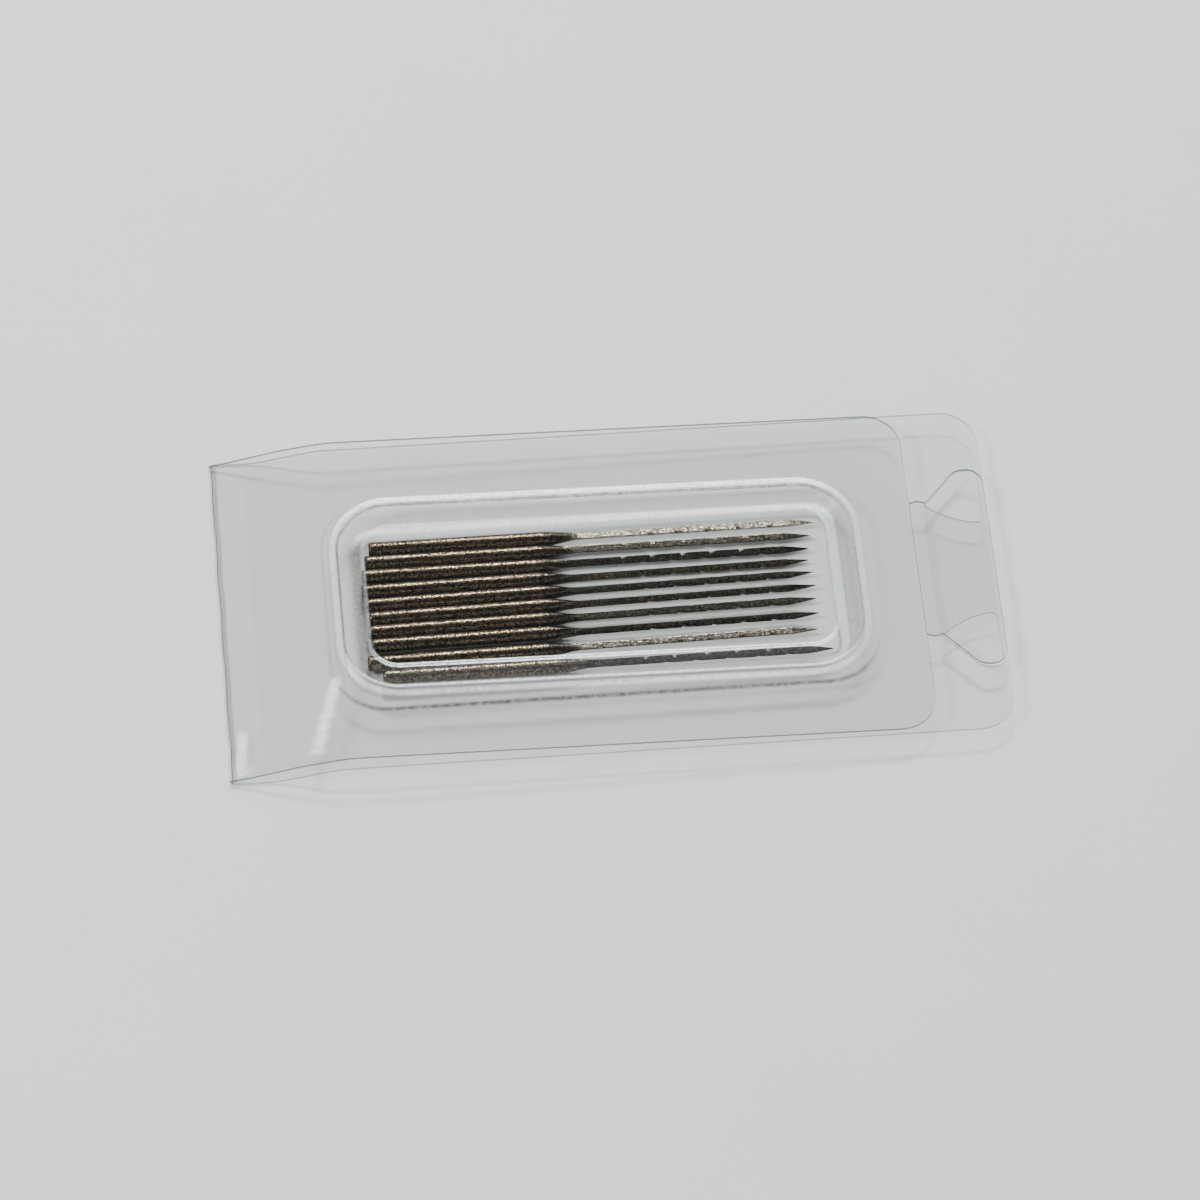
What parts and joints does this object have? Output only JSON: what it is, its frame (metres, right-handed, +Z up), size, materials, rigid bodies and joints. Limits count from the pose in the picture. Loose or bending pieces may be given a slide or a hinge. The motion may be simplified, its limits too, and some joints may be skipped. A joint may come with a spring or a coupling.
{
  "type": "felting needle wallet",
  "caption": "Folded clear film wallet with a shallow pressed tray holding a row of loose barbed felting needles, closed by a winged lock tab.",
  "frame": {"origin": "on the table under the middle of the closed wallet's outline", "axes": "+X from the fold to the lock tab, along the needles, +Y across the wallet away from the viewer, +Z up"},
  "size_m": [0.0692, 0.0336, 0.0034],
  "materials": {
    "tray_film": "clear smooth film",
    "cover_film": "clear smooth film",
    "needle_steel": "dark hardened steel, finely rough"
  },
  "bodies": {
    "tray": {"tray_sheet": "tray_film", "fold_film": "tray_film"},
    "cover": {"cover_sheet": "cover_film"},
    "tab": {"lock_tab": "cover_film"},
    "needle_01": {"needle_01": "needle_steel"},
    "needle_02": {"needle_02": "needle_steel"},
    "needle_03": {"needle_03": "needle_steel"},
    "needle_04": {"needle_04": "needle_steel"},
    "needle_05": {"needle_05": "needle_steel"},
    "needle_06": {"needle_06": "needle_steel"},
    "needle_07": {"needle_07": "needle_steel"},
    "needle_08": {"needle_08": "needle_steel"},
    "needle_09": {"needle_09": "needle_steel"},
    "needle_10": {"needle_10": "needle_steel"}
  },
  "joints": [
    {"name": "cover_hinge", "type": "hinge", "parent": "tray", "child": "cover", "pos_m": [-0.03433, 0, 0.00026], "axis": [0, -1, 0], "range_deg": [0, 160], "deforming": ["fold_film"]},
    {"name": "tab_hinge", "type": "hinge", "parent": "cover", "child": "tab", "pos_m": [0.02765, 0, 0.00206], "axis": [0, -1, 0], "range_deg": [0, 45]},
    {"name": "needle_01_slide", "type": "slide", "parent": "tray", "child": "needle_01", "axis": [1, 0.0009, 0], "range_m": [-0.0004, 0.0017]},
    {"name": "needle_02_slide", "type": "slide", "parent": "tray", "child": "needle_02", "axis": [1, 0.0017, 0], "range_m": [-0.0003, 0.0025]},
    {"name": "needle_03_slide", "type": "slide", "parent": "tray", "child": "needle_03", "axis": [1, 0.0035, 0], "range_m": [-0.0001, 0.0027]},
    {"name": "needle_04_slide", "type": "slide", "parent": "tray", "child": "needle_04", "axis": [0.9999, 0.0131, 0], "range_m": [-0.00005, 0.0028]},
    {"name": "needle_05_slide", "type": "slide", "parent": "tray", "child": "needle_05", "axis": [0.9998, 0.0175, 0], "range_m": [-0.00025, 0.0026]},
    {"name": "needle_06_slide", "type": "slide", "parent": "tray", "child": "needle_06", "axis": [0.9998, 0.0175, 0], "range_m": [-0.0004, 0.0024]},
    {"name": "needle_07_slide", "type": "slide", "parent": "tray", "child": "needle_07", "axis": [0.9998, 0.0183, 0], "range_m": [-0.0002, 0.0026]},
    {"name": "needle_08_slide", "type": "slide", "parent": "tray", "child": "needle_08", "axis": [0.9999, 0.0148, 0], "range_m": [-0.00035, 0.0024]},
    {"name": "needle_09_slide", "type": "slide", "parent": "tray", "child": "needle_09", "axis": [0.9999, 0.0166, 0], "range_m": [-0.00005, 0.0026]},
    {"name": "needle_10_slide", "type": "slide", "parent": "tray", "child": "needle_10", "axis": [1, 0.0026, 0], "range_m": [-0.00005, 0.0007]}
  ]
}
